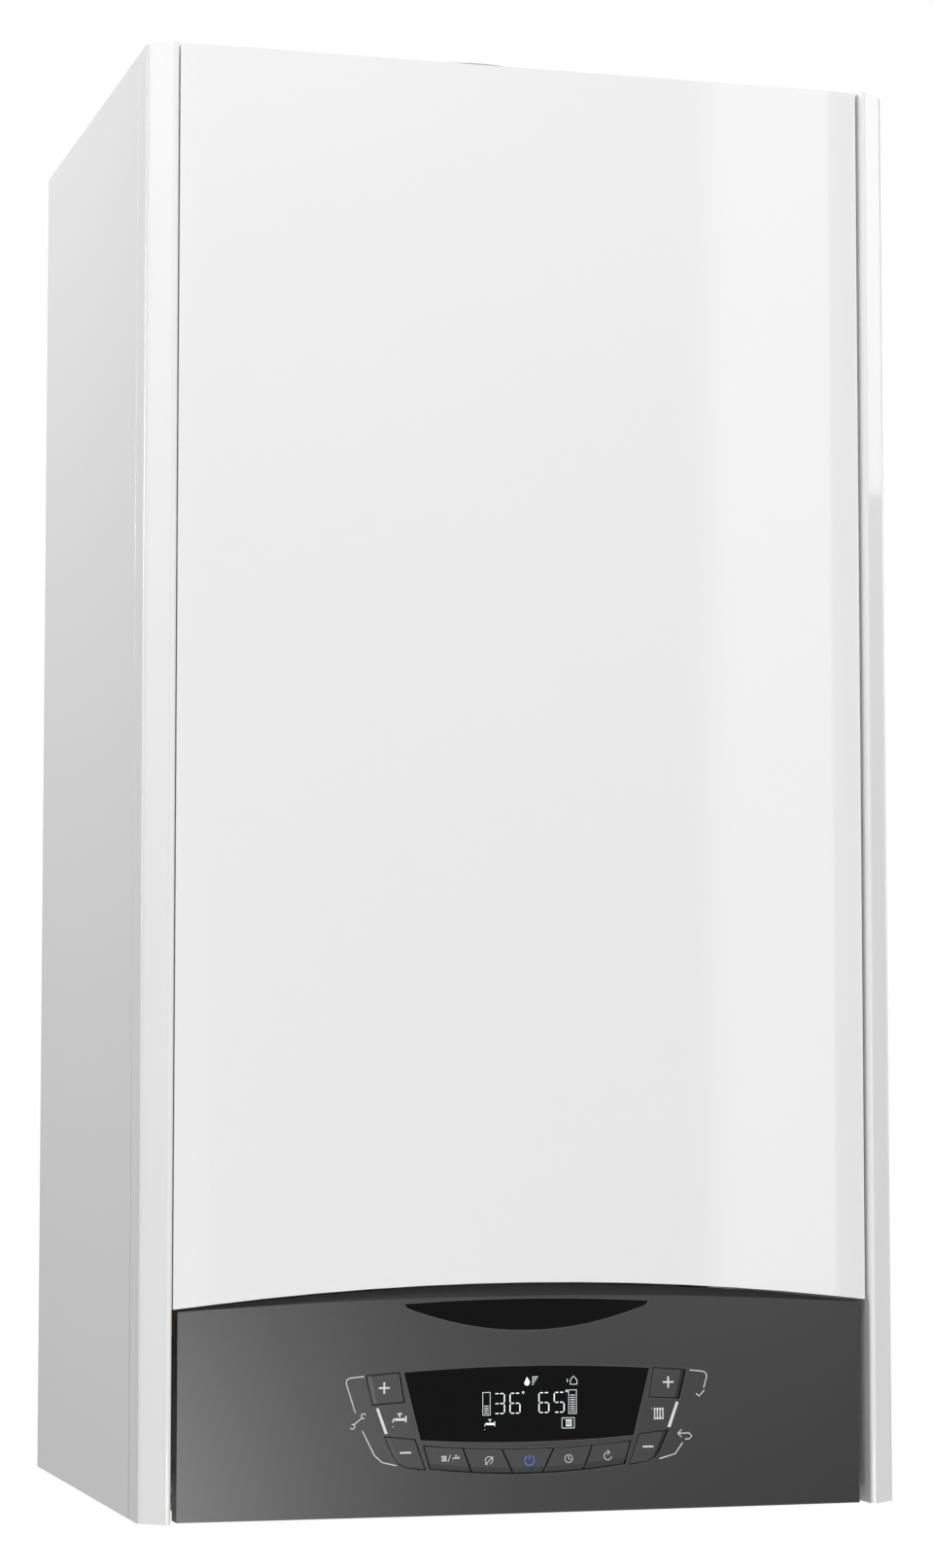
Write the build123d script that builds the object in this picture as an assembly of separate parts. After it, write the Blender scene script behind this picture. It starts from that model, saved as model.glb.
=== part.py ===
from build123d import *
import math
import os

# Wall-hung gas boiler, millimetres. The wall is the plane Y = 0, the front faces -Y,
# and Z = 0 is the underside of the cabinet. X = 0 is the middle.

# Cabinet
WIDTH = 400.0
HEIGHT = 745.0
DEPTH = 319.0
SHEET = 1.2
SIDE_BACK = 5.0
SEAM_FROM_FRONT = 31.5
SEAM_GAP = 0.6

# Corner trims: a chamfered post on each side of the front
TRIM_WIDTH = 15.3
TRIM_CHAMFER_DEPTH = 10.5
TRIM_NOSE_R = 2.0
TRIM_WALL = 1.5

# White front panel
PANEL_GAP = 1.2
PANEL_SETBACK = 2.2
PANEL_EDGE_BAND = 18.0
PANEL_EDGE_DROP = 2.0
HOOK_WIDTH = 24.0

# Arch between the front panel and the grey fascia
ARCH_CROWN = 115.6
ARCH_R = 1478.0
ARCH_GAP = 1.2

# Grey control fascia
FASCIA_SIDE_GAP = 4.0
FASCIA_SETBACK = 4.0
FASCIA_BOW = 2.8
FASCIA_DEEP = 19.0
FASCIA_WALL = 2.5
BEVEL_HIGH = 5.6
BEVEL_DEEP = 3.0

# Keys and windows
KEY_GAP = 0.35
KEY_TRAVEL = 0.8
KEY_THICK = 4.0
KEY_STEP = 0.4
KEY_PLAY = 0.2
SWITCH_HIGH = 1.0
SWITCH_WIDE = 5.0
BADGE_THICK = 1.6
WINDOW_THICK = 1.6
WINDOW_GAP = 0.2
WINDOW_LEDGE = 3.0
LCD_WIDE = 52.0
LCD_HIGH = 30.0
LCD_THICK = 3.0
BOARD_THICK = 1.6

# Control box behind the fascia, and its hinge
BOX_SIDE_GAP = 26.0
BOX_LOW = 5.0
BOX_HIGH = 88.0
BOX_BACK = DEPTH - 57.0
BOX_WALL = 2.0
BOARD_INSET = 24.0
PIVOT_Y = -(DEPTH - 41.0)
PIVOT_Z = 14.0
PIN_R = 3.0
PIN_PLAY = 0.05
EAR_WALL = 4.0
BUSH_LONG = 14.0

# Wall side
BRACKET_HALF = 140.0
BRACKET_HIGH = HEIGHT - 45.0
BRACKET_LOW = BRACKET_HIGH - 60.0
BRACKET_THICK = 2.0
BRACKET_LIP = 10.0
HOOK_PLAY = 0.4
SLOT_DROP = 8.0
SLOT_WIDE = 8.5
SLOT_LONG = 20.0
SLOT_PITCH = 220.0
REAR_WINDOW_HALF = 110.0
REAR_WINDOW_LOW = 120.0
REAR_WINDOW_HIGH = 300.0
RIB_HALF = 100.0
RIB_HIGH = 24.0
RIB_DROP = 185.0

# Flue
FLUE_Y = -(DEPTH - 160.5)
COLLAR_R = 62.5
COLLAR_HIGH = 27.75
COLLAR_BORE_R = 50.5
COLLAR_FLANGE_R = 74.0
COLLAR_FLANGE = 2.5
COLLAR_GROOVE_LOW = 12.0
COLLAR_GROOVE_HIGH = 17.0
COLLAR_GROOVE = 3.0
OUTLET_BORE_R = 30.5
OUTLET_WALL = 1.0
SCREW_HEAD_R = 3.8
SCREW_HEAD = 2.2

# Sealed chamber
CHAMBER_HALF = 178.0
CHAMBER_LOW = 330.0
CHAMBER_HIGH = HEIGHT - 13.0
CHAMBER_BACK = DEPTH - 227.0
CHAMBER_FRONT = DEPTH - 73.0
COVER_DEEP = 8.0
SEAL_THICK = 2.0
GLASS_R = 14.0
GLASS_Z = 460.0
COVER_MARGIN = 22.0
COVER_LAP = 2.0
SEAL_WIDE = 12.0
PIPE_CLEAR = 0.5

# Burner stack inside the chamber, from the burner up to the fan
FIRE_HALF_X = 128.0
FIRE_FRONT = CHAMBER_FRONT - 24.0
FIRE_BACK = CHAMBER_BACK + 20.0
BURNER_LOW = 372.0
BURNER_HIGH = 412.0
BURNER_BLADES = 13
BURNER_PITCH = 17.0
BLADE_THICK = 8.0
TRAY_WALL = 3.0
TRAY_LIP = 4.0
MANIFOLD_OFF = 12.0
MANIFOLD_THICK = 10.0
INJECTOR_R = 3.0
BOARD_WALL = 12.0
EXCHANGER_LOW = HEIGHT - 213.0
EXCHANGER_HIGH = HEIGHT - 171.0
EXCHANGER_WALL = 2.0
HEADER_OFF = 6.0
HEADER_WIDE = 10.0
FIN_COUNT = 36
FIN_THICK = 1.2
ELECTRODE_R = 1.5
ELECTRODE_X = (-12.0, 12.0, 60.0)
ELECTRODE_UP = 20.0
ELECTRODE_IN = 40.0
HOOD_HIGH = HEIGHT - 131.0
HOOD_WALL = 1.5
RISER_HALF = 40.0
RISER_WALL = 2.0
FAN_X = -14.0
FAN_Z = HEIGHT - 81.0
FAN_EYE_R = 24.0
OUTLET_HALF = 24.0
FLUE_BOTTOM = HEIGHT - 27.0
SHAFT_R = 4.0
SHAFT_PLAY = 0.1
FAN_R = 46.0
FAN_DEEP = 44.0
FAN_WALL = 2.0
IMPELLER_R = 40.0
IMPELLER_GAP = 3.0
IMPELLER_BLADES = 18
MOTOR_R = 30.0
MOTOR_LONG = 42.0
SWITCH_X = 116.0
SWITCH_R = 26.0
SWITCH_OFF = 30.0

# Water side
PIPE_Y = -100.0
PIPE_PITCH = 66.0
STUB_LOW = -16.0
G34_R = 13.2
G12_R = 10.5
TUBE_R = 9.0
PUMP_X = 132.0
PUMP_Y = -(DEPTH - 169.0)
PUMP_Z = 152.0
PUMP_R = 46.0
PUMP_MOTOR_LONG = 74.0
PUMP_HALF = 22.0
PUMP_PORT_HALF = 17.0
PUMP_PORT_LOW = 96.0
PUMP_TOP = 14.0
PUMP_SHAFT_R = 5.0
FLOW_TURN_X = 175.0
FLOW_TURN_Z = 60.0
SLANT_LOW = 250.0
SLANT_HIGH = 290.0
PIPE_BEND = 15.0
GAS_BEND = 20.0
GAS_TURN_Z = 80.0
CASTING_HALF = 20.0
CASTING_LOW = 14.0
DIVERTER_Y = PIPE_Y - 6.0
DIVERTER_LOW = 116.0
DIVERTER_R = 9.0
VALVE_Y = -150.0
VALVE_LOW = 150.0
VALVE_HIGH = 236.0
PLATE_HALF = 92.0
PLATE_COUNT = 14
PLATE_PITCH = 4.0
TANK_HALF = 160.0
TANK_LOW = 344.0
TANK_HIGH = HEIGHT - 21.0
TANK_THICK = CHAMBER_BACK - 22.0
TANK_WALL = 3.0
TANK_ROUND = 40.0
TANK_EDGE = 12.0
TANK_INSET = 14.0
TANK_PORT_X = 60.0
TANK_PORT_R = 6.0
RELIEF = (152.0, -138.0, 60.0)
RELIEF_R = 13.0
RELIEF_KNOB_R = 14.0
GAUGE_X = -99.0
GAUGE_Y = -206.0
GAUGE_Z = 4.0
GAUGE_R = 19.0

# Derived places
HALF = WIDTH / 2
BOX_HALF = HALF - BOX_SIDE_GAP
SEAM_Y = -(DEPTH - SEAM_FROM_FRONT)
TRIM_INNER = HALF - TRIM_WIDTH
PANEL_HALF = TRIM_INNER - PANEL_GAP
PANEL_Y = -(DEPTH - PANEL_SETBACK)
FASCIA_HALF = TRIM_INNER - FASCIA_SIDE_GAP
FASCIA_Y = -(DEPTH - FASCIA_SETBACK)
FASCIA_BACK = FASCIA_Y + FASCIA_DEEP - FASCIA_SETBACK
KEY_BOARD_Y = FASCIA_Y + KEY_THICK + KEY_TRAVEL + 2.2
RISER_FRONT = FLUE_Y + FAN_DEEP / 2
SIDE_PIPE_Y = -(CHAMBER_BACK + 26)
GAS_PIPE_Y = -(CHAMBER_FRONT - 14)
PIPE_HOLES = [(-150.0, SIDE_PIPE_Y), (150.0, SIDE_PIPE_Y), (0.0, GAS_PIPE_Y)]
ON_END = (Align.CENTER, Align.CENTER, Align.MIN)


def block(x, y, z):
    """Box between two X, two Y and two Z values."""
    low = [min(pair) for pair in (x, y, z)]
    size = [abs(pair[1] - pair[0]) for pair in (x, y, z)]
    return Pos(*low) * Box(*size, align=(Align.MIN, Align.MIN, Align.MIN))


def mirrored(shape):
    return shape.mirror(Plane.YZ)


def both_sides(shape):
    return shape + mirrored(shape)


def outline(start, *steps):
    """Closed flat outline: each step is a point, or a pair (through, end) for an arc."""
    edges = []
    at = start
    for step in steps + (start,):
        if isinstance(step[0], tuple):
            edges.append(ThreePointArc(at, step[0], step[1]))
            at = step[1]
        elif math.dist(at, step) > 1e-6:
            edges.append(Line(at, step))
            at = step
    return make_face(edges)


def slab_y(face, front, back):
    """Extrude an (x, z) outline between two Y values."""
    return extrude(Plane.XZ.offset(-back) * face, amount=back - front)


def slab_z(face, low, high):
    return extrude(Pos(0, 0, low) * face, amount=high - low)


def rod_x(r, x0, x1, y, z):
    return Plane.YZ.offset(x0) * Pos(y, z, 0) * Cylinder(r, x1 - x0, align=ON_END)


def rod_y(r, x, z, front, back):
    return Pos(x, front, z) * Rot(-90, 0, 0) * Cylinder(r, back - front, align=ON_END)


def rod_z(r, x, y, low, high):
    return Pos(x, y, low) * Cylinder(r, high - low, align=ON_END)


def hex_z(across, x, y, low, high):
    return slab_z(Pos(x, y) * RegularPolygon(across / 2, 6, major_radius=False), low, high)


def tube_run(points, r, bend):
    """Pipe of radius r along straight runs joined by bends."""
    route = FilletPolyline(*points, radius=bend)
    return sweep(Plane(route @ 0, z_dir=route % 0) * Circle(r), path=route)


def save(node, shape):
    export_step(shape, os.path.join("parts", node + ".step"))
    print(node, round(shape.volume))


def arch_z(x, drop=0.0):
    """Height of the arch's middle line at x, lowered by drop."""
    return ARCH_CROWN - drop - x * x / (2 * ARCH_R)


def under_arch(half, low, drop):
    """Area in x and z between a flat bottom and the arch lowered by drop."""
    end = arch_z(half, drop)
    return outline((-half, low), (half, low), (half, end), ((0, ARCH_CROWN - drop), (-half, end)))


def front_panel():
    """Folded steel pan: bowed edges, top, side and arched lower flanges, lips behind the trims."""
    def pan(inset, back):
        half = PANEL_HALF - inset
        flat = PANEL_HALF - PANEL_EDGE_BAND
        front = PANEL_Y + inset
        edge = front + PANEL_EDGE_DROP
        mid = (flat + half) / 2
        dip = PANEL_EDGE_DROP / 4
        section = outline(
            (-half, back), (-half, edge), ((-mid, front + dip), (-flat, front)),
            (flat, front), ((mid, front + dip), (half, edge)), (half, back),
        )
        low = under_arch(WIDTH, -10, -ARCH_GAP / 2 - inset)
        return slab_z(section, 60, HEIGHT - inset) - slab_y(low, PANEL_Y - 5, back + 5)

    shell = pan(0, SEAM_Y) - pan(SHEET, SEAM_Y + 5)
    lip = block((PANEL_HALF - SHEET, HALF - TRIM_WALL), (SEAM_Y, SEAM_Y + SHEET), (120, HEIGHT - 2))
    hook = block((-HOOK_WIDTH, HOOK_WIDTH), (SEAM_Y - SHEET, SEAM_Y + SHEET), (HEIGHT - 14, HEIGHT))
    hook = Pos(PANEL_HALF - 3 * HOOK_WIDTH, 0, 0) * hook
    return shell + both_sides(lip) + both_sides(hook)


def corner_trim():
    """Left post: side return, chamfer, rounded nose and inner wall, open at the back."""
    inner = -TRIM_INNER
    edge_y = -(DEPTH - TRIM_CHAMFER_DEPTH)

    def closed(inset, back):
        nose_x = inner - TRIM_NOSE_R
        nose_y = -DEPTH + TRIM_NOSE_R
        reach = math.dist((-HALF, edge_y), (nose_x, nose_y))
        slope = math.atan2(edge_y - nose_y, nose_x + HALF) + math.asin(TRIM_NOSE_R / reach)
        r = TRIM_NOSE_R - inset
        touch = (nose_x - r * math.sin(slope), nose_y - r * math.cos(slope))
        shift = inset * math.tan(slope / 2)
        start = (-HALF + inset, edge_y + shift)
        half_turn = math.radians(45) - slope / 2
        crest = (nose_x + r * math.sin(half_turn), nose_y - r * math.cos(half_turn))
        return outline(
            (-HALF + inset, back), start, touch, (crest, (inner - inset, nose_y)), (inner - inset, back),
        )

    hollow = slab_z(closed(TRIM_WALL, SEAM_Y + 5), -1, HEIGHT - TRIM_WALL)
    return slab_z(closed(0, SEAM_Y), 0, HEIGHT) - hollow


def side_panel():
    """Left side sheet with inward flanges on all four edges and the hinge bush near its lower front."""
    front = SEAM_Y + SHEET + SEAM_GAP
    skin = block((-HALF, -HALF + SHEET), (front, -SIDE_BACK), (0, HEIGHT))
    skin += block((-HALF, -HALF + 12), (front, front + SHEET), (0, HEIGHT - SHEET))
    skin += block((-HALF, -HALF + 22), (-SIDE_BACK - SHEET, -SIDE_BACK), (0, HEIGHT))
    skin += block((-HALF, -HALF + 12), (front, -SIDE_BACK), (0, SHEET))
    bush = block((-HALF, -HALF + BUSH_LONG + 6), (front, PIVOT_Y + 14), (PIVOT_Z - 8, PIVOT_Z + 8))
    return skin + bush - rod_x(PIN_R, -HALF + 2, HALF, PIVOT_Y, PIVOT_Z)


def top_plate():
    front = SEAM_Y + SHEET + SEAM_GAP
    inside = HALF - SHEET
    plate = block((-inside, inside), (front, -SIDE_BACK - SHEET), (HEIGHT - SHEET, HEIGHT))
    plate += block((-inside + 13, inside - 13), (front, front + SHEET), (HEIGHT - 12, HEIGHT))
    return plate - rod_z(COLLAR_BORE_R + 2, 0, FLUE_Y, HEIGHT - 20, HEIGHT + 5)


def ring_places(radius, count, turn=45):
    return [
        (radius * math.cos(math.radians(turn + i * 360 / count)),
         FLUE_Y + radius * math.sin(math.radians(turn + i * 360 / count)))
        for i in range(count)
    ]


def flue_collar():
    """Aluminium socket for the 60/100 coaxial flue, screwed to the top plate."""
    collar = rod_z(COLLAR_FLANGE_R, 0, FLUE_Y, HEIGHT, HEIGHT + COLLAR_FLANGE)
    collar += rod_z(COLLAR_R, 0, FLUE_Y, HEIGHT, HEIGHT + COLLAR_HIGH)
    collar -= rod_z(COLLAR_BORE_R, 0, FLUE_Y, HEIGHT - 1, HEIGHT + COLLAR_HIGH + 1)
    low = HEIGHT + COLLAR_GROOVE_LOW
    high = HEIGHT + COLLAR_GROOVE_HIGH
    groove = rod_z(COLLAR_R + 1, 0, FLUE_Y, low, high)
    return collar - (groove - rod_z(COLLAR_R - COLLAR_GROOVE, 0, FLUE_Y, low - 1, high + 1))


def rear_frame():
    """Galvanised back: sheet, two wall ribs, lower foot at the wall, hanging hook and chamber shelf."""
    inside = HALF - SHEET - 0.2
    back = -SIDE_BACK - SHEET
    frame = block((-inside, inside), (back - SHEET, back), (SHEET, HEIGHT - 2))
    wide = REAR_WINDOW_HALF
    frame -= block((-wide, wide), (back - 2, 0), (REAR_WINDOW_LOW, REAR_WINDOW_HIGH))
    inner = RIB_HALF - 2
    for z in (0, HEIGHT - RIB_DROP):
        frame += block((-RIB_HALF, RIB_HALF), (back, 0), (z, z + RIB_HIGH))
        frame -= block((-inner, inner), (back, -2), (z + 2, z + RIB_HIGH - 2))
    hook = BRACKET_HIGH + BRACKET_LIP
    face = -BRACKET_THICK - HOOK_PLAY
    frame += block((-BRACKET_HALF, BRACKET_HALF), (back, face), (hook, hook + 2))
    frame += block((-BRACKET_HALF, BRACKET_HALF), (face - SHEET, face), (BRACKET_HIGH + 2, hook + 2))
    shelf = block((-inside, inside), (-CHAMBER_FRONT - 10, back), (CHAMBER_LOW - 2, CHAMBER_LOW))
    for px, py in PIPE_HOLES:
        shelf -= rod_z(TUBE_R + PIPE_CLEAR, px, py, CHAMBER_LOW - 5, CHAMBER_LOW + 5)
    return frame + shelf


def wall_bracket():
    """Rail screwed to the wall through two slots; its raised lip carries the frame's hook."""
    rail = block((-BRACKET_HALF, BRACKET_HALF), (-BRACKET_THICK, 0), (BRACKET_LOW, BRACKET_HIGH))
    lip = -BRACKET_THICK - 2 * HOOK_PLAY - SHEET
    rail += block((-BRACKET_HALF, BRACKET_HALF), (lip - SHEET, 0), (BRACKET_HIGH - 2, BRACKET_HIGH))
    top = (BRACKET_HIGH - 2, BRACKET_HIGH + BRACKET_LIP)
    rail += block((-BRACKET_HALF, BRACKET_HALF), (lip - SHEET, lip), top)
    z = (BRACKET_LOW + BRACKET_HIGH) / 2 - SLOT_DROP
    for x in (-SLOT_PITCH / 2, SLOT_PITCH / 2):
        rail -= slab_y(Pos(x, z) * SlotOverall(SLOT_LONG, SLOT_WIDE), -10, 5)
    return rail


def hinge_pins():
    return both_sides(rod_x(PIN_R, -HALF + 2, -BOX_HALF + EAR_WALL + 1, PIVOT_Y, PIVOT_Z))


# Key outlines, right-hand side or middle, as (x, z) on the face of the fascia
PLUS_KEY = [(67.3, 71.8), (84.5, 70.4), (81.1, 56.0), (64.8, 57.0)]
MINUS_KEY = [(59.3, 38.3), (75.2, 40.0), (70.6, 29.8), ((68.0, 26.4), (64.0, 24.3)), (53.9, 23.1)]
ROW_TOP = 32.3
ROW_TOP_END = (54.9, 35.0)
ROW_LOW = 20.1
ROW_LOW_END = (51.5, 23.3)
ROW_DIVIDERS = [(34.2, 29.6), (13.7, 7.8)]
WINDOW_TOP = (64.7, 71.6)
WINDOW_LOW = (56.2, 38.0)
WINDOW_CROWN = 73.8
WINDOW_SAG = 36.0
BADGE_END = (64.5, 105.9)
BADGE_LOW_END = (63.0, 103.8)
BADGE_CROWN = 107.8
BADGE_SAG = 92.3


def lens(top_end, low_end, crown, sag):
    """Symmetric outline with an arched top and a sagging lower edge."""
    return outline(
        (-low_end[0], low_end[1]), ((0, sag), low_end), top_end,
        ((0, crown), (-top_end[0], top_end[1])),
    )


def row_cell(left, right):
    """Part of the key row between two slanted dividers, each a pair (x at the top, x at the foot)."""
    row = lens(ROW_TOP_END, ROW_LOW_END, ROW_TOP, ROW_LOW)
    gap = KEY_GAP / 2
    keep = outline(
        (left[1] + gap, ROW_LOW - 0.5), (right[1] - gap, ROW_LOW - 0.5),
        (right[0] - gap, ROW_TOP + 0.9), (right[0] - gap, ROW_TOP + 8),
        (left[0] + gap, ROW_TOP + 8), (left[0] + gap, ROW_TOP + 0.9),
    )
    return (row & keep).faces()[0]


def key_outlines():
    """Flat outline of each of the nine keys by name."""
    plus = outline(*PLUS_KEY)
    minus = outline(*MINUS_KEY)
    out = {
        "water_plus_key": plus.mirror(Plane.YZ), "water_minus_key": minus.mirror(Plane.YZ),
        "heating_plus_key": plus, "heating_minus_key": minus,
    }
    wide = (ROW_TOP_END[0] + 5, ROW_LOW_END[0] + 5)
    cuts = [wide] + ROW_DIVIDERS
    ends = [(-a, -b) for a, b in cuts] + cuts[::-1]
    names = ["mode_key", "eco_key", "power_key", "auto_key", "reset_key"]
    for name, left, right in zip(names, ends, ends[1:]):
        out[name] = row_cell(left, right)
    return out


def grow(face, by):
    """Flat outline moved outwards, or inwards where by is negative."""
    return offset(face, amount=by, kind=Kind.ARC if by > 0 else Kind.INTERSECTION).faces()[0]


def face_y(x):
    """Y of the bowed fascia at x."""
    return FASCIA_Y + FASCIA_BOW * (x / FASCIA_HALF) ** 2


def key(face):
    """Key cap with a stepped front edge and a plunger that ends just above its switch."""
    x = face.center().X
    front = face_y(x)
    cap = slab_y(grow(face, -KEY_STEP), front, front + KEY_STEP)
    cap += slab_y(face, front + KEY_STEP, front + KEY_THICK)
    c = face.center()
    reach = KEY_BOARD_Y - SWITCH_HIGH - KEY_TRAVEL - KEY_PLAY
    return cap + block((c.X - 1.5, c.X + 1.5), (front, reach), (c.Y - 1.5, c.Y + 1.5))


def fascia_shape(inset):
    """Bowed block under the arch; inset shrinks it all round except at the back."""
    half = FASCIA_HALF - inset
    back = FASCIA_BACK + (inset and 5)
    section = outline(
        (-half, back), (-half, FASCIA_Y + FASCIA_BOW + inset),
        ((0, FASCIA_Y + inset), (half, FASCIA_Y + FASCIA_BOW + inset)), (half, back),
    )
    body = slab_z(section, inset, ARCH_CROWN + 5)
    drop = ARCH_GAP / 2 + (inset and BEVEL_HIGH + inset)
    return body & slab_y(under_arch(half, inset, drop), -DEPTH - 5, back)


def control_fascia():
    body = fascia_shape(0) - fascia_shape(FASCIA_WALL)
    top_r = ARCH_R - ARCH_GAP / 2
    wedge = outline(
        (top_r - BEVEL_HIGH, FASCIA_Y), (top_r - BEVEL_HIGH, FASCIA_Y - 9), (top_r + 9, FASCIA_Y - 9),
        (top_r + 9, FASCIA_Y + BEVEL_DEEP), (top_r, FASCIA_Y + BEVEL_DEEP),
    )
    ring = revolve(Plane.XY * wedge, Axis((0, 0, 0), (0, 1, 0)), 360)
    body -= Pos(0, 0, ARCH_CROWN - ARCH_R) * ring
    window = lens(WINDOW_TOP, WINDOW_LOW, WINDOW_CROWN, WINDOW_SAG)
    body -= slab_y(grow(window, WINDOW_GAP), FASCIA_Y - 5, FASCIA_Y + WINDOW_THICK)
    body -= slab_y(grow(window, -WINDOW_LEDGE), FASCIA_Y - 5, FASCIA_BACK)
    badge = lens(BADGE_END, BADGE_LOW_END, BADGE_CROWN, BADGE_SAG)
    body -= slab_y(grow(badge, WINDOW_GAP), FASCIA_Y - 5, FASCIA_Y + BADGE_THICK)
    row = lens(ROW_TOP_END, ROW_LOW_END, ROW_TOP, ROW_LOW)
    holes = [row] + [f for n, f in key_outlines().items() if "plus" in n or "minus" in n]
    for hole in holes:
        body -= slab_y(grow(hole, KEY_GAP), FASCIA_Y - 5, FASCIA_BACK)
    return body


def window_plate(shape, thick):
    return slab_y(shape, FASCIA_Y + 0.2, FASCIA_Y + thick)


def lcd_module():
    z = (WINDOW_CROWN + WINDOW_SAG) / 2
    back = FASCIA_Y + WINDOW_THICK + LCD_THICK
    window = lens(WINDOW_TOP, WINDOW_LOW, WINDOW_CROWN, WINDOW_SAG)
    body = slab_y(grow(window, -WINDOW_LEDGE - 0.4), FASCIA_Y + WINDOW_THICK, back)
    wide, high = LCD_WIDE / 2, LCD_HIGH / 2
    return body + block((-wide, wide), (back, KEY_BOARD_Y), (z - high, z + high))


def key_board():
    """Board behind the keys, with one small switch under each key."""
    board = block((-96, 96), (KEY_BOARD_Y, KEY_BOARD_Y + BOARD_THICK), (14, 84))
    half = SWITCH_WIDE / 2
    for face in key_outlines().values():
        c = face.center()
        y = (KEY_BOARD_Y - SWITCH_HIGH, KEY_BOARD_Y)
        board += block((c.X - half, c.X + half), y, (c.Y - half, c.Y + half))
    return board


def control_box():
    """Rear shell of the panel with hinge ears at its lower corners and a mains lead gland."""
    box = block((-BOX_HALF, BOX_HALF), (FASCIA_BACK, -BOX_BACK), (BOX_LOW, BOX_HIGH))
    hollow = BOX_HALF - EAR_WALL
    z = (BOX_LOW + BOX_WALL, BOX_HIGH - BOX_WALL)
    box -= block((-hollow, hollow), (FASCIA_BACK - 1, -BOX_BACK - BOX_WALL), z)
    box -= rod_x(PIN_R + PIN_PLAY, -HALF, HALF, PIVOT_Y, PIVOT_Z)
    for i in range(-5, 6):
        box -= block((i * 24 - 7, i * 24 + 7), (-BOX_BACK - 3, -BOX_BACK + 1), (66, 69))
    gland = rod_y(8, 120, 40, -BOX_BACK - BOX_WALL, -BOX_BACK + 1.5)
    return box + gland - rod_y(4, 120, 40, -BOX_BACK - 5, -BOX_BACK + 5)


def main_board():
    """Mains board with transformer, relays, capacitors and terminal block."""
    back = -BOX_BACK - BOX_WALL - 4
    front = back - BOARD_THICK
    half = BOX_HALF - BOARD_INSET
    board = block((-half, half), (front, back), (22, 80))
    for x in (-half + 10, half - 10):
        board += block((x - 4, x + 4), (back, -BOX_BACK - BOX_WALL), (46, 54))
    board += block((-140, -104), (front - 18, front), (30, 62))
    for i in range(5):
        board += block((-90 + i * 22, -74 + i * 22), (front - 12, front), (54, 74))
    for i in range(3):
        board += rod_y(6, 40 + i * 18, 60, front - 14, front)
    return board + block((30, 130), (front - 9, front), (26, 38))


def combustion_housing():
    """Sealed chamber: open-fronted steel box standing on the frame's shelf."""
    x = (-CHAMBER_HALF, CHAMBER_HALF)
    box = block(x, (-CHAMBER_FRONT, -CHAMBER_BACK), (CHAMBER_LOW, CHAMBER_HIGH))
    inner = CHAMBER_HALF - SHEET
    z = (CHAMBER_LOW + SHEET, CHAMBER_HIGH - SHEET)
    box -= block((-inner, inner), (-CHAMBER_FRONT - 1, -CHAMBER_BACK - SHEET), z)
    box -= rod_z(COLLAR_BORE_R, 0, FLUE_Y, CHAMBER_HIGH - 5, CHAMBER_HIGH + 1)
    for px, py in PIPE_HOLES:
        box -= rod_z(TUBE_R + PIPE_CLEAR, px, py, CHAMBER_LOW - 1, CHAMBER_LOW + 5)
    return box


def chamber_cover():
    """Sheet steel cover with a raised middle field and a round sight hole."""
    front = -CHAMBER_FRONT - SEAL_THICK
    half = CHAMBER_HALF + COVER_LAP
    cover = block((-half, half), (front - SHEET, front), (CHAMBER_LOW + COVER_LAP, CHAMBER_HIGH))
    field = half - COVER_MARGIN
    z = (CHAMBER_LOW + COVER_MARGIN, CHAMBER_HIGH - COVER_MARGIN)
    cover += block((-field, field), (front - COVER_DEEP, front), z)
    inner = field - SHEET
    cover -= block((-inner, inner), (front - COVER_DEEP + SHEET, front + 1), (z[0] + SHEET, z[1] - SHEET))
    return cover - rod_y(GLASS_R, 0, GLASS_Z, front - COVER_DEEP - 1, front + 1)


def chamber_seal():
    low = CHAMBER_LOW + COVER_LAP + 1
    y = (-CHAMBER_FRONT - SEAL_THICK, -CHAMBER_FRONT)
    ring = block((-CHAMBER_HALF, CHAMBER_HALF), y, (low, CHAMBER_HIGH))
    hole = CHAMBER_HALF - SEAL_WIDE
    return ring - block((-hole, hole), (y[0] - 1, 0), (low + SEAL_WIDE, CHAMBER_HIGH - SEAL_WIDE))


def sight_glass():
    front = -CHAMBER_FRONT - SEAL_THICK - COVER_DEEP
    return rod_y(GLASS_R + 4, 0, GLASS_Z, front + SHEET, front + SHEET + 3)


def chassis_screws():
    """Four collar screws and six cover screws."""
    screws = []
    for x, y in ring_places((COLLAR_R + COLLAR_FLANGE_R) / 2, 4):
        screws.append(rod_z(SCREW_HEAD_R, x, y, HEIGHT + COLLAR_FLANGE, HEIGHT + COLLAR_FLANGE + SCREW_HEAD))
    y = -CHAMBER_FRONT - SEAL_THICK - SHEET
    for x in (-CHAMBER_HALF + 6, CHAMBER_HALF - 6):
        for z in (CHAMBER_LOW + 30, (CHAMBER_LOW + CHAMBER_HIGH) / 2, CHAMBER_HIGH - 30):
            screws.append(rod_y(SCREW_HEAD_R, x, z, y - SCREW_HEAD, y))
    return Compound(screws)


def insulation_boards():
    """Ceramic fibre lining between the burner and the heat exchanger."""
    z = (BURNER_HIGH + TRAY_LIP, EXCHANGER_LOW)
    ring = block((-FIRE_HALF_X, FIRE_HALF_X), (-FIRE_FRONT, -FIRE_BACK), z)
    inner = FIRE_HALF_X - BOARD_WALL
    inner_y = (-FIRE_FRONT + BOARD_WALL, -FIRE_BACK - BOARD_WALL)
    ring -= block((-inner, inner), inner_y, (z[0] - 1, z[1] + 1))
    for x in ELECTRODE_X:
        up = BURNER_HIGH + ELECTRODE_UP
        ring -= rod_y(ELECTRODE_R, x, up, -FIRE_FRONT - 1, -FIRE_FRONT + ELECTRODE_IN)
    return ring


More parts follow.
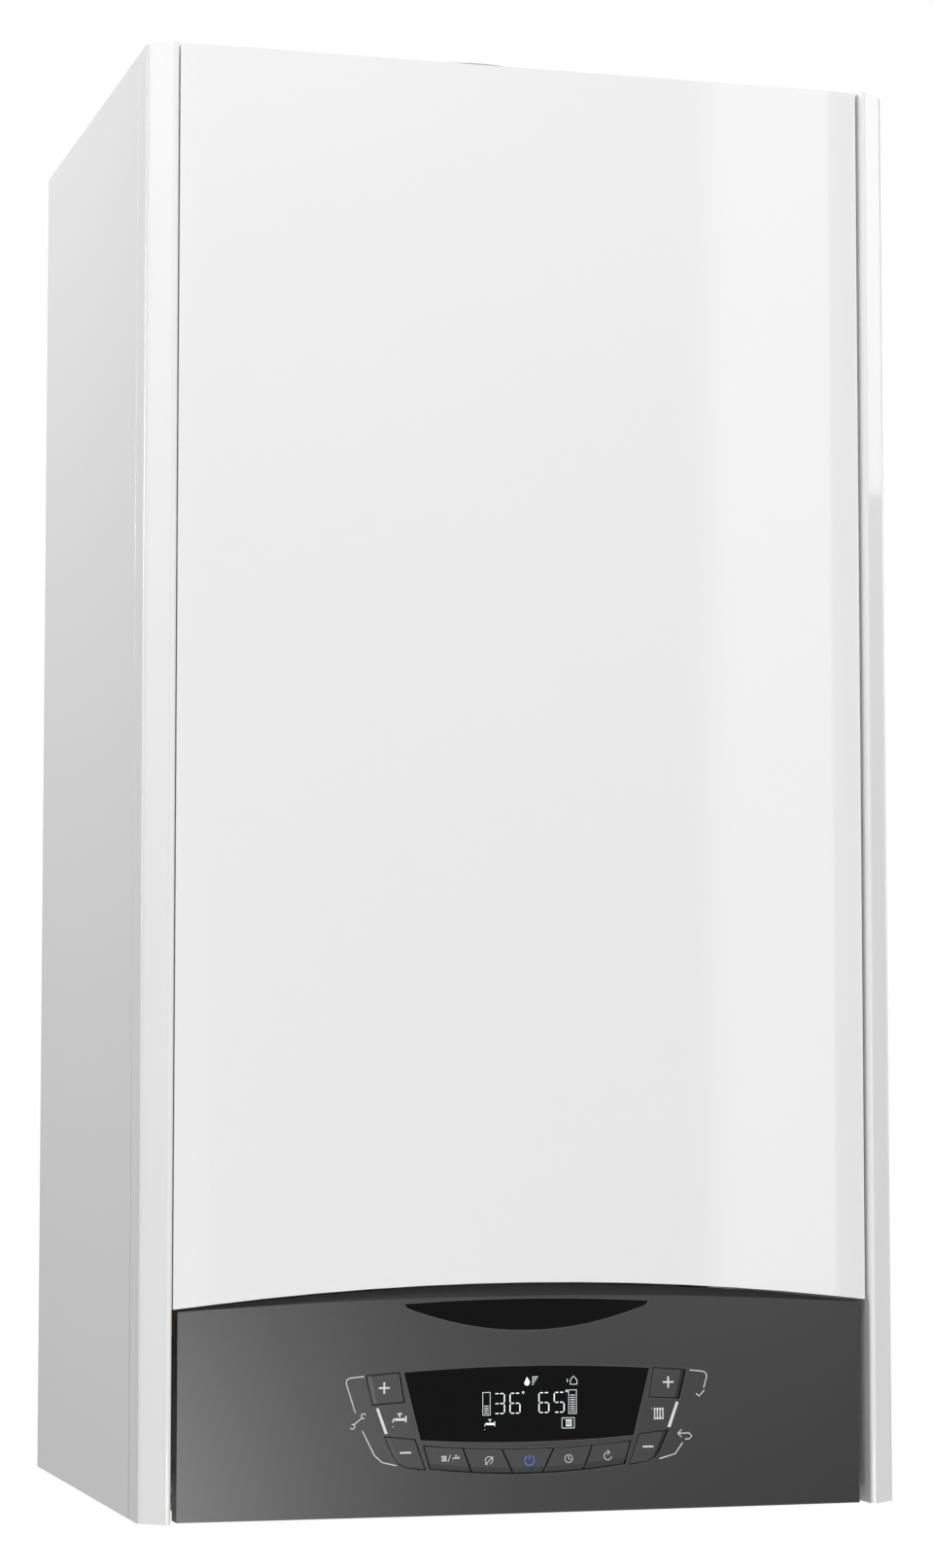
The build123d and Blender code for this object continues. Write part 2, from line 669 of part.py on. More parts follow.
def burner():
    """Row of slotted burner blades held in a steel tray."""
    top = BURNER_HIGH + TRAY_LIP
    tray = block((-FIRE_HALF_X, FIRE_HALF_X), (-FIRE_FRONT, -FIRE_BACK), (BURNER_LOW, top))
    inner = FIRE_HALF_X - TRAY_WALL
    inner_y = (-FIRE_FRONT + TRAY_WALL, -FIRE_BACK - TRAY_WALL)
    tray -= block((-inner, inner), inner_y, (BURNER_LOW + TRAY_WALL, top + 5))
    for i in range(BURNER_BLADES):
        x = (i - (BURNER_BLADES - 1) / 2) * BURNER_PITCH
        blade = (x - BLADE_THICK / 2, x + BLADE_THICK / 2)
        tray += block(blade, (-FIRE_FRONT + 2, -FIRE_BACK - 2), (BURNER_LOW + 2, BURNER_HIGH))
    return tray


def gas_manifold():
    """Injector rail in front of the burner."""
    y = -FIRE_FRONT - MANIFOLD_OFF
    back = y + MANIFOLD_THICK / 2
    half = FIRE_HALF_X - 8
    rail = block((-half, half), (back - MANIFOLD_THICK, back), (BURNER_LOW + 6, BURNER_LOW + 24))
    for i in range(BURNER_BLADES):
        x = (i - (BURNER_BLADES - 1) / 2) * BURNER_PITCH
        rail += rod_y(INJECTOR_R, x, BURNER_LOW + 15, back, -FIRE_FRONT)
    return rail


def electrodes():
    """Two spark electrodes and one flame sensing rod through the front board."""
    rods = []
    for x in ELECTRODE_X:
        z = BURNER_HIGH + ELECTRODE_UP
        rod = rod_y(ELECTRODE_R, x, z, -FIRE_FRONT - 12, -FIRE_FRONT + ELECTRODE_IN)
        rods.append(rod + rod_y(4, x, z, -FIRE_FRONT - 8, -FIRE_FRONT))
    return Compound(rods)


def heat_exchanger():
    """Copper finned block with four flattened tubes and headers at both ends."""
    z = (EXCHANGER_LOW, EXCHANGER_HIGH)
    half = FIRE_HALF_X - 4
    mid = sum(z) / 2
    block_y = (-FIRE_FRONT + 6, -FIRE_BACK - 6)
    inner = half - EXCHANGER_WALL
    core = block((-half, half), block_y, z)
    inner_y = (block_y[0] + EXCHANGER_WALL, block_y[1] - EXCHANGER_WALL)
    core -= block((-inner, inner), inner_y, (z[0] - 1, z[1] + 1))
    for i in range(FIN_COUNT):
        x = -half + 4 + i * (2 * half - 8) / (FIN_COUNT - 1)
        fin = (x - FIN_THICK / 2, x + FIN_THICK / 2)
        core += block(fin, (block_y[0] + 1, block_y[1] - 1), (z[0] + 2, z[1] - 2))
    pitch = (block_y[1] - block_y[0] - 28) / 3
    for i in range(4):
        core += rod_x(TUBE_R - 1.5, -half - 8, half + 8, block_y[0] + 14 + i * pitch, mid)
    for side in (-1, 1):
        x = sorted((side * (half + HEADER_OFF), side * (half + HEADER_OFF + HEADER_WIDE)))
        core += block(x, (block_y[0] + 5, block_y[1] - 5), (mid - 10, mid + 10))
    return core


def fume_hood():
    """Tapered hood over the exchanger, with a riser behind the fan."""
    half = FIRE_HALF_X - 4
    foot = Pos(0, -(FIRE_FRONT + FIRE_BACK) / 2, EXCHANGER_HIGH)
    def taper(inset):
        base = foot * Rectangle(2 * (half - inset), FIRE_FRONT - FIRE_BACK - 2 * inset)
        top = Pos(0, -(FIRE_FRONT + FIRE_BACK) / 2, HOOD_HIGH - inset) * Rectangle(150, 90 - 2 * inset)
        return loft([base.faces()[0], top.faces()[0]])
    wide = (FAN_X - RISER_HALF, FAN_X + RISER_HALF)
    riser = block(wide, (RISER_FRONT, -FIRE_BACK - 4), (HOOD_HIGH - 12, FAN_Z + 30))
    inner = (FAN_X - RISER_HALF + RISER_WALL, FAN_X + RISER_HALF - RISER_WALL)
    inner_y = (RISER_FRONT + RISER_WALL, -FIRE_BACK - 4 - RISER_WALL)
    riser -= block(inner, inner_y, (HOOD_HIGH - 20, FAN_Z + 30 - RISER_WALL))
    eye = rod_y(FAN_EYE_R, FAN_X, FAN_Z, RISER_FRONT - 1, RISER_FRONT + 3)
    hood = taper(0) + riser - taper(HOOD_WALL) - eye
    return hood - block(inner, inner_y, (HOOD_HIGH - 20, HOOD_HIGH + 2))


def fan_scroll(inset):
    """Scroll casing and its upright outlet, whose bore lines up with the flue."""
    front = FLUE_Y - FAN_DEEP / 2 + inset
    back = RISER_FRONT - inset
    body = rod_y(FAN_R - inset, FAN_X, FAN_Z, front, back)
    reach = FLUE_BOTTOM + (1 if inset else 0)
    neck = block((FAN_X - 14 + inset, OUTLET_HALF - inset), (front, back), (FAN_Z, reach))
    return body + neck


def fan_housing():
    shell = fan_scroll(0) - fan_scroll(FAN_WALL)
    shell -= rod_y(FAN_EYE_R, FAN_X, FAN_Z, RISER_FRONT - 4, RISER_FRONT + 1)
    return shell - rod_y(SHAFT_R, FAN_X, FAN_Z, FLUE_Y - FAN_DEEP, FLUE_Y)


def fan_impeller():
    """Forward-curved drum: back disc, front ring, blades and hub on the motor shaft."""
    front = FLUE_Y - FAN_DEEP / 2 + FAN_WALL + IMPELLER_GAP
    back = RISER_FRONT - FAN_WALL - IMPELLER_GAP
    wheel = rod_y(IMPELLER_R, FAN_X, FAN_Z, front, front + 2) + rod_y(9, FAN_X, FAN_Z, front, front + 20)
    front_ring = rod_y(IMPELLER_R, FAN_X, FAN_Z, back - 2, back)
    wheel += front_ring - rod_y(IMPELLER_R - 9, FAN_X, FAN_Z, back - 3, back + 1)
    for i in range(IMPELLER_BLADES):
        blade = block((IMPELLER_R - 8, IMPELLER_R - 1), (front + 1, back - 1), (-0.8, 0.8))
        wheel += Pos(FAN_X, 0, FAN_Z) * Rot(0, i * 360 / IMPELLER_BLADES, 0) * blade
    return wheel + rod_y(SHAFT_R - SHAFT_PLAY, FAN_X, FAN_Z, FLUE_Y - FAN_DEEP / 2 - 6, front)


def fan_motor():
    back = FLUE_Y - FAN_DEEP / 2
    motor = rod_y(MOTOR_R, FAN_X, FAN_Z, back - MOTOR_LONG, back)
    motor -= rod_y(SHAFT_R, FAN_X, FAN_Z, back - 8, back + 1)
    slot = block((MOTOR_R - 5, MOTOR_R + 1), (back - MOTOR_LONG + 8, back - 8), (-3, 3))
    for i in range(6):
        motor -= Pos(FAN_X, 0, FAN_Z) * Rot(0, i * 60, 0) * slot
    return motor


def flue_outlet_pipe():
    outer = OUTLET_BORE_R + OUTLET_WALL
    pipe = rod_z(outer, 0, FLUE_Y, FLUE_BOTTOM + 3, HEIGHT + COLLAR_HIGH - 4)
    pipe += rod_z(outer, 0, FLUE_Y, FLUE_BOTTOM, FLUE_BOTTOM + 4)
    pipe -= rod_z(OUTLET_BORE_R, 0, FLUE_Y, FLUE_BOTTOM + 3, HEIGHT + COLLAR_HIGH)
    wide, deep = (FAN_X - 12, OUTLET_HALF - 2), (FLUE_Y - 18, FLUE_Y + 18)
    return pipe - block(wide, deep, (FLUE_BOTTOM - 1, FLUE_BOTTOM + 5))


def air_pressure_switch():
    """Round diaphragm switch on a bracket from the chamber's back wall."""
    x, y, z = SWITCH_X, -CHAMBER_FRONT + SWITCH_OFF, FAN_Z - 4
    body = rod_y(SWITCH_R, x, z, y - 14, y) + rod_y(SWITCH_R - 6, x, z, y - 20, y)
    arm = block((x - 12, x + 12), (y, -CHAMBER_BACK - SHEET), (z - 10, z + 10))
    return body + arm + rod_y(3, x + 12, z, y - 28, y)


def expansion_vessel():
    """Flat welded tank between the back sheet and the chamber."""
    y = (-SIDE_BACK - 2 * SHEET - 1 - TANK_THICK, -SIDE_BACK - 2 * SHEET)
    tank = block((-TANK_HALF, TANK_HALF), y, (TANK_LOW, TANK_HIGH))
    tank = fillet(tank.edges().filter_by(Axis.Y), TANK_ROUND)
    tank = fillet(tank.faces().sort_by(Axis.Y)[0].edges(), TANK_EDGE)
    mid = sum(y) / 2
    tank += rod_z(TANK_PORT_R, TANK_PORT_X, mid, TANK_LOW - 12, TANK_LOW + 2)
    wide = TANK_HALF - TANK_INSET
    low = TANK_LOW + TANK_INSET
    hollow = block((-wide, wide), (y[0] + TANK_WALL, y[1] - TANK_WALL), (low, TANK_HIGH - TANK_INSET))
    return tank - hollow - rod_z(TANK_PORT_R - 2, TANK_PORT_X, mid, TANK_LOW - 13, low + 1)


def gas_valve():
    """Cast valve body with two round coils in front."""
    body = block((-28, 28), (VALVE_Y - 25, VALVE_Y + 25), (VALVE_LOW, VALVE_HIGH))
    body = fillet(body.edges().filter_by(Axis.Y), 6)
    for z in (VALVE_LOW + 24, VALVE_HIGH - 22):
        body += rod_y(16, 0, z, VALVE_Y - 58, VALVE_Y - 25)
    return body + block((28, 44), (VALVE_Y - 14, VALVE_Y + 14), (VALVE_LOW + 30, VALVE_LOW + 60))


def stub(r, x):
    """Threaded connection: hexagon above the thread, bored through."""
    body = rod_z(r, x, PIPE_Y, STUB_LOW, 16) + hex_z(2 * r + 6, x, PIPE_Y, 4, 14)
    return body - rod_z(r - 3, x, PIPE_Y, STUB_LOW - 1, 8)


def gas_pipes():
    """Inlet from the stub to the valve, and riser from the valve to the manifold."""
    turn = GAS_TURN_Z
    low = [(0, PIPE_Y, CASTING_LOW), (0, PIPE_Y, turn), (0, VALVE_Y, turn), (0, VALVE_Y, VALVE_LOW)]
    inlet = stub(G34_R, 0) + tube_run(low, TUBE_R, GAS_BEND)
    x, y = PIPE_HOLES[2]
    high = [(0, VALVE_Y, VALVE_HIGH), (0, VALVE_Y, SLANT_HIGH), (x, y, SLANT_HIGH), (x, y, BURNER_LOW + 6)]
    return Compound([inlet, tube_run(high, TUBE_R - 1, GAS_BEND - 2)])


def hydraulic_block():
    """Flow casting with the diverter well, return casting, a bar between them and four stubs."""
    far = 2 * PIPE_PITCH
    y = (PIPE_Y - 24, PIPE_Y + CASTING_HALF)
    bar_z = (26, 50)
    cast = block((-far - CASTING_HALF, -far + CASTING_HALF), y, (CASTING_LOW, DIVERTER_LOW))
    cast -= rod_z(DIVERTER_R + 2, -far, DIVERTER_Y, 40, DIVERTER_LOW + 4)
    cast += block((far - CASTING_HALF, far + CASTING_HALF), y, (CASTING_LOW, PUMP_PORT_LOW))
    cast += block((-far, far), (PIPE_Y + 4, PIPE_Y + 16), bar_z) - rod_z(TUBE_R + 2, 0, PIPE_Y, 0, 90)
    cast += stub(G34_R, -far) + stub(G34_R, far)
    for x in (-PIPE_PITCH, PIPE_PITCH):
        cast += stub(G12_R, x) + rod_z(G12_R - 1, x, PIPE_Y, CASTING_LOW, 30)
        cast += block((x - 9, x + 9), (PIPE_Y - 8, PIPE_Y + 8), bar_z)
    return cast


def diverter_spindle():
    """Stem with two valve discs, clear of the well they move in."""
    x, y = -2 * PIPE_PITCH, DIVERTER_Y
    stem = rod_z(3, x, y, 52, DIVERTER_LOW + 12)
    return stem + rod_z(DIVERTER_R, x, y, 56, 62) + rod_z(DIVERTER_R, x, y, 84, 90)


def diverter_motor():
    x, y = -2 * PIPE_PITCH, DIVERTER_Y
    motor = block((x - 20, x + 20), (y - 26, y + 22), (DIVERTER_LOW, DIVERTER_LOW + 56))
    return fillet(motor.edges().filter_by(Axis.Z), 5) - rod_z(5, x, y, DIVERTER_LOW - 6, DIVERTER_LOW + 26)


def plate_heat_exchanger():
    """Brazed stack of plates between the two castings."""
    y0 = -SIDE_BACK - 4 * SHEET
    stack = block((-PLATE_HALF, PLATE_HALF), (y0 - PLATE_COUNT * PLATE_PITCH, y0), (62, 128))
    for i in range(PLATE_COUNT):
        y = y0 - (i + 0.5) * PLATE_PITCH
        stack += block((-PLATE_HALF - 3, PLATE_HALF + 3), (y - 0.8, y + 0.8), (59, 131))
    return stack


def pump_body():
    """Volute with its inlet block on the return casting and its outlet on top."""
    y = PUMP_Y
    port = (PUMP_X - PUMP_PORT_HALF, PUMP_X + PUMP_PORT_HALF)
    body = rod_y(PUMP_R, PUMP_X, PUMP_Z, y - PUMP_HALF, y + PUMP_HALF)
    body += block(port, (y - 16, y + 16), (PUMP_PORT_LOW, PUMP_Z))
    body += block(port, (y - 16, PIPE_Y + 10), (PUMP_PORT_LOW, PUMP_PORT_LOW + 16))
    body += rod_z(PUMP_TOP, PUMP_X, y, PUMP_Z, PUMP_Z + PUMP_R + PUMP_TOP)
    body -= rod_y(PUMP_R - 6, PUMP_X, PUMP_Z, y - 18, y + 16)
    return body - rod_y(PUMP_SHAFT_R, PUMP_X, PUMP_Z, y - 30, y)


def pump_impeller():
    wheel = rod_y(26, PUMP_X, PUMP_Z, PUMP_Y - 8, PUMP_Y - 5)
    wheel += rod_y(PUMP_SHAFT_R - SHAFT_PLAY, PUMP_X, PUMP_Z, PUMP_Y - 30, PUMP_Y + 6)
    vane = block((4, 25), (PUMP_Y - 6, PUMP_Y + 4), (-1, 1))
    for i in range(6):
        wheel += Pos(PUMP_X, 0, PUMP_Z) * Rot(0, i * 60, 0) * vane
    return wheel


def pump_motor():
    front = PUMP_Y - PUMP_HALF
    motor = rod_y(40, PUMP_X, PUMP_Z, front - PUMP_MOTOR_LONG, front)
    motor = fillet(motor.faces().sort_by(Axis.Y)[0].edges(), 6)
    motor += block((PUMP_X - 26, PUMP_X + 26), (front - 60, front - 14), (PUMP_Z + 30, PUMP_Z + 50))
    return motor - rod_y(5.5, PUMP_X, PUMP_Z, front - 12, front + 1)


def water_pipes():
    """Copper flow pipe on the left, and the return pipe on the right."""
    lx, ly = PIPE_HOLES[0]
    rx, ry = PIPE_HOLES[1]
    z = (EXCHANGER_LOW + EXCHANGER_HIGH) / 2
    turn, tall = (-FLOW_TURN_X, PIPE_Y), (SLANT_LOW, SLANT_HIGH, z - 10)
    flow = tube_run([
        (-2 * PIPE_PITCH - CASTING_HALF, PIPE_Y, FLOW_TURN_Z), (*turn, FLOW_TURN_Z), (*turn, tall[0]),
        (lx, ly, tall[1]), (lx, ly, tall[2]),
    ], TUBE_R - 1, PIPE_BEND)
    back = tube_run([
        (PUMP_X, PUMP_Y, PUMP_Z + PUMP_R + PUMP_TOP), (PUMP_X, PUMP_Y, tall[0]),
        (rx, ry, tall[1]), (rx, ry, tall[2]),
    ], TUBE_R - 1, PIPE_BEND)
    near = FIRE_HALF_X - 4 + HEADER_OFF + HEADER_WIDE
    elbows = [
        block(sorted((side * near, side * (rx + 10))), (ly - TUBE_R, ly + TUBE_R), (tall[2], z + TUBE_R))
        for side in (-1, 1)
    ]
    return Compound([flow + elbows[0], back + elbows[1]])


def relief_valve():
    x, y, z = RELIEF
    return block((x - 12, x + 12), (y, PIPE_Y - 24), (z - 12, z + 12)) + rod_y(RELIEF_R, x, z, y - 14, y)


def relief_knob():
    x, y, z = RELIEF
    knob = rod_y(RELIEF_KNOB_R, x, z, y - 28, y - 14.4)
    notch = block((RELIEF_KNOB_R - 1, RELIEF_KNOB_R + 2), (y - 30, y - 20), (-2, 2))
    for i in range(8):
        knob -= Pos(x, 0, z) * Rot(0, i * 45, 0) * notch
    return knob


def filling_knob():
    x, y = PIPE_PITCH / 2, PIPE_Y + 10
    knob = rod_z(11, x, y, -8, 8) + rod_z(4, x, y, 8, 25.6)
    for i in range(8):
        knob -= Pos(x, y, 0) * Rot(0, 0, i * 45) * block((10, 13), (-2, 2), (-9, 6))
    return knob


def pressure_gauge():
    """Round gauge facing down, on a bracket from the flow casting."""
    cup = rod_z(GAUGE_R, GAUGE_X, GAUGE_Y, GAUGE_Z, GAUGE_Z + 18)
    cup -= rod_z(GAUGE_R - 2, GAUGE_X, GAUGE_Y, GAUGE_Z - 1, GAUGE_Z + 8)
    arm = block((GAUGE_X - 20, GAUGE_X), (GAUGE_Y, PIPE_Y - 24), (GAUGE_Z + 15, GAUGE_Z + 18))
    arm -= rod_z(GAUGE_R - 4, GAUGE_X, GAUGE_Y, GAUGE_Z + 18, GAUGE_Z + 30)
    return cup + arm


def gauge_needle():
    needle = block((-1, 1), (-13, 5), (GAUGE_Z + 5, GAUGE_Z + 6))
    needle = Pos(GAUGE_X, GAUGE_Y, 0) * Rot(0, 0, 45) * needle
    return needle + rod_z(2.4, GAUGE_X, GAUGE_Y, GAUGE_Z + 4, GAUGE_Z + 7.6)


def gauge_glass():
    return rod_z(GAUGE_R - 2, GAUGE_X, GAUGE_Y, GAUGE_Z + 0.5, GAUGE_Z + 2)


def casing_screws():
    """Two screws under the casing, one in each lower trim end."""
    x = HALF - TRIM_WALL - 4.2
    tab = rod_z(SCREW_HEAD_R, x, SEAM_Y - 5, 1, 12)
    return Compound([tab, mirrored(tab)])


def build():
    os.makedirs("parts", exist_ok=True)
    left_trim = corner_trim()
    left_side = side_panel()
    save("front_panel", front_panel())
    save("left_corner_trim", left_trim)
    save("right_corner_trim", mirrored(left_trim))
    save("left_side_panel", left_side)
    save("right_side_panel", mirrored(left_side))
    save("badge_cover", window_plate(lens(BADGE_END, BADGE_LOW_END, BADGE_CROWN, BADGE_SAG), BADGE_THICK))
    save("display_window", window_plate(lens(WINDOW_TOP, WINDOW_LOW, WINDOW_CROWN, WINDOW_SAG), WINDOW_THICK))
    for name, face in key_outlines().items():
        save(name, key(face))
    for piece in (
        top_plate, flue_collar, rear_frame, wall_bracket, hinge_pins, control_fascia, lcd_module, key_board,
        control_box, main_board, combustion_housing, chamber_cover, chamber_seal, sight_glass, chassis_screws,
        insulation_boards, burner, gas_manifold, electrodes, heat_exchanger, fume_hood, fan_housing,
        fan_impeller, fan_motor, flue_outlet_pipe, air_pressure_switch, expansion_vessel, gas_valve, gas_pipes,
        hydraulic_block, diverter_spindle, diverter_motor, plate_heat_exchanger, pump_body, pump_impeller,
        pump_motor, water_pipes, relief_valve, relief_knob, filling_knob, pressure_gauge, gauge_needle,
        gauge_glass, casing_screws,
    ):
        save(piece.__name__, piece())


build()
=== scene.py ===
import math
import bpy
import bmesh
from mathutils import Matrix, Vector


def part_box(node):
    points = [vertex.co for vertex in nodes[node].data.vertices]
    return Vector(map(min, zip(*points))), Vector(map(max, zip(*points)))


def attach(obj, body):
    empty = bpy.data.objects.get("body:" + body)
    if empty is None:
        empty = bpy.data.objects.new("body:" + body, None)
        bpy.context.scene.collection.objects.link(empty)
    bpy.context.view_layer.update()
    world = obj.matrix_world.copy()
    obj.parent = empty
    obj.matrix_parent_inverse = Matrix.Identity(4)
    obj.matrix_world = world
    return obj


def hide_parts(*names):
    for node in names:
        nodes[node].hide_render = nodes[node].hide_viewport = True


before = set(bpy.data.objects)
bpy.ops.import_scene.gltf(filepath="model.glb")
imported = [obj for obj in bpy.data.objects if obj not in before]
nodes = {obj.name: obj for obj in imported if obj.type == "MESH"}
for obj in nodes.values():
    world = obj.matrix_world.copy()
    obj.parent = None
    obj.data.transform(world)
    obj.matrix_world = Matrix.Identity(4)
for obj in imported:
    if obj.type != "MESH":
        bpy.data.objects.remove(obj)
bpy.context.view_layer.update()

bpy.ops.object.select_all(action="DESELECT")

# Steel casing: folded sheet, powder coated white and baked, so it is smooth with a faint orange peel.
# The front panel, its two corner trims, the side panels and the top plate all take this coat.
COAT_WHITE = "#ececec"
PEEL_MM = 1.4


def linear(hex_colour):
    """An sRGB hex colour as linear values with alpha."""
    raw = [int(hex_colour[i:i + 2], 16) / 255 for i in (1, 3, 5)]
    return [c / 12.92 if c <= 0.04045 else ((c + 0.055) / 1.055) ** 2.4 for c in raw] + [1.0]


def add_node(material, kind, links=(), **settings):
    """Adds a node; settings name sockets or properties, links are (input, node, output)."""
    tree = material.node_tree
    made = tree.nodes.new(kind)
    for key, value in settings.items():
        if hasattr(made, key):
            setattr(made, key, value)
        else:
            made.inputs[key.replace("_", " ")].default_value = value
    for target, source, output in links:
        tree.links.new(source.outputs[output], made.inputs[target])
    return made


CLOUD_SCALE = 9.0
GRAIN_DEEP = 0.3


def surface(name, colour, roughness, metallic=0.0, grain_mm=1.0, bump=0.1, vary=0.04, rough_vary=0.05,
            **shader):
    """Principled surface with a cloudy colour, and grain of a real size in its roughness and bump."""
    material = bpy.data.materials.new(name)
    material.use_nodes = True
    tree = material.node_tree
    body = tree.nodes["Principled BSDF"]
    place = add_node(material, "ShaderNodeTexCoord")
    grain = add_node(material, "ShaderNodeTexNoise", [("Vector", place, "Object")],
                     Scale=1000 / grain_mm, Detail=3.0)
    cloud = add_node(material, "ShaderNodeTexNoise", [("Vector", place, "Object")],
                     Scale=CLOUD_SCALE, Detail=4.0)
    base = linear(colour)
    dark = [c * (1 - vary) for c in base[:3]] + [1.0]
    tone = add_node(material, "ShaderNodeMix", [("Factor", cloud, "Fac")], data_type="RGBA")
    tone.inputs["A"].default_value = dark
    tone.inputs["B"].default_value = base
    gloss = add_node(material, "ShaderNodeMapRange", [("Value", grain, "Fac")])
    gloss.inputs["To Min"].default_value = roughness - rough_vary
    gloss.inputs["To Max"].default_value = roughness + rough_vary
    relief = add_node(material, "ShaderNodeBump", [("Height", grain, "Fac")], Strength=bump,
                      Distance=grain_mm / 1000 * GRAIN_DEEP)
    tree.links.new(tone.outputs["Result"], body.inputs["Base Color"])
    tree.links.new(gloss.outputs["Result"], body.inputs["Roughness"])
    tree.links.new(relief.outputs["Normal"], body.inputs["Normal"])
    body.inputs["Metallic"].default_value = metallic
    for socket, value in shader.items():
        body.inputs[socket.replace("_", " ")].default_value = value
    return material


def finish_node(names, material):
    """Gives one material to the CAD nodes named in a string."""
    for name in names.split():
        mesh = nodes[name].data
        mesh.materials.clear()
        mesh.materials.append(material)


powder_coat = surface("powder_coated_steel", COAT_WHITE, 0.42, grain_mm=PEEL_MM, bump=0.05, vary=0.01,
                      Coat_Weight=0.6, Coat_Roughness=0.05)
finish_node("front_panel left_corner_trim right_corner_trim left_side_panel right_side_panel top_plate",
            powder_coat)

# Rolled edges: where the sheet is folded, its corner has a small radius that catches a pale line of light.
# One runs down the fold of each corner trim, and a coated bead fills the seam between trim and side panel.
EDGE_R = 0.0004
FOLD_Y = -0.3089
BEAD_R = 0.0006
BEAD_Y = -0.2866


def rolled_edge(name, x, y, radius, body, low, high):
    """Upright coated bead at (x, y) between two heights."""
    bpy.ops.object.select_all(action="DESELECT")
    bpy.ops.mesh.primitive_cylinder_add(vertices=16, radius=radius, depth=high - low)
    edge = bpy.context.object
    edge.name = name
    for vertex in edge.data.vertices:
        vertex.co += Vector((x, y, (low + high) / 2))
    edge.data.polygons.foreach_set("use_smooth", [len(p.vertices) == 4 for p in edge.data.polygons])
    edge.data.materials.clear()
    edge.data.materials.append(powder_coat)
    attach(edge, body)


trim_low, trim_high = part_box("left_corner_trim")
outer = abs(trim_low.x)
ends = (trim_low.z, trim_high.z)
for side, word in ((-1, "left"), (1, "right")):
    rolled_edge(word + "_fold_edge", side * (outer - EDGE_R), FOLD_Y, EDGE_R, "casing", *ends)
    rolled_edge(word + "_seam_bead", side * (outer - BEAD_R), BEAD_Y, BEAD_R, "boiler", *ends)

# Bare steel and castings behind the casing: galvanised sheet with a spangle, die-cast aluminium,
# copper tube, brass castings, stainless plates, painted iron and the red tank.
SPANGLE_MM = 6.0
zinc = surface("galvanised_steel", "#a9adb0", 0.42, 1.0, SPANGLE_MM, 0.06, 0.25, 0.14)
cast = surface("die_cast_aluminium", "#b9bbbd", 0.5, 1.0, 0.8, 0.25, 0.1)
copper = surface("drawn_copper", "#b87352", 0.34, 1.0, 3.0, 0.05, 0.25, 0.1)
brass = surface("cast_brass", "#b59a5a", 0.4, 1.0, 1.2, 0.2, 0.15)
stainless = surface("rolled_stainless_steel", "#b4b3af", 0.3, 1.0, 2.0, 0.04, 0.08)
iron = surface("painted_cast_iron", "#2c2f33", 0.5, 0.0, 1.5, 0.4, 0.15)
tank_paint = surface("red_tank_enamel", "#a82a22", 0.3, 0.0, 2.0, 0.06, 0.08)
nylon = surface("black_nylon", "#1d1e20", 0.55, 0.0, 0.7, 0.2, 0.1)
silicone = surface("silicone_rubber", "#8c3a2c", 0.7, 0.0, 1.0, 0.15, 0.1)
fibre = surface("ceramic_fibre", "#dcd9d0", 0.95, 0.0, 1.6, 0.7, 0.12)
board = surface("solder_masked_board", "#17512f", 0.35, 0.0, 2.0, 0.08, 0.2)
red_knob = surface("red_abs", "#b01a14", 0.38, 0.0, 0.8, 0.1, 0.05)
glass = surface("borosilicate_glass", "#f4fbfa", 0.05, 0.0, 30.0, 0.02, 0.01, 0.01, Transmission_Weight=0.9)
finish_node("rear_frame wall_bracket combustion_housing chamber_cover fume_hood fan_housing chassis_screws "
            "casing_screws hinge_pins burner", zinc)
finish_node("flue_collar flue_outlet_pipe gas_valve gas_manifold fan_impeller", cast)
finish_node("heat_exchanger water_pipes gas_pipes", copper)
finish_node("hydraulic_block relief_valve", brass)
finish_node("plate_heat_exchanger diverter_spindle", stainless)
finish_node("pump_body", iron)
finish_node("expansion_vessel", tank_paint)
finish_node("control_box diverter_motor pump_motor air_pressure_switch fan_motor pressure_gauge filling_knob "
            "pump_impeller lcd_module", nylon)
finish_node("chamber_seal", silicone)
finish_node("insulation_boards electrodes", fibre)
finish_node("key_board main_board", board)
finish_node("relief_knob gauge_needle", red_knob)
finish_node("sight_glass gauge_glass", glass)

# Control fascia: one moulding in grey ABS with a fine spark-eroded grain, bowed forwards a little
# and bevelled under its arched top edge. It is satin, so it takes the light from the left softly.
FASCIA_GREY = "#1a1a1a"
GRAIN_MM = 0.6
FASCIA_BOW = 0.0028
abs_grey = surface("grained_grey_abs", FASCIA_GREY, 0.3, 0.0, GRAIN_MM, 0.12, 0.02, Specular_IOR_Level=0.75)
finish_node("control_fascia", abs_grey)
fascia_low, fascia_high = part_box("control_fascia")


def face_y(x):
    """Y of the bowed face of the fascia at x, in metres."""
    return fascia_low.y + FASCIA_BOW * (x / fascia_high.x) ** 2


# Badge cover and display window: clear acrylic printed black behind, polished, with nothing on the badge.
# Each sits in a recess whose moulded rim is drawn lighter, as a thin painted highlight.
gloss_black = surface("polished_black_acrylic", "#080809", 0.09, 0.0, 20.0, 0.0, 0.02, 0.01,
                      Specular_IOR_Level=0.2)
finish_node("badge_cover display_window", gloss_black)
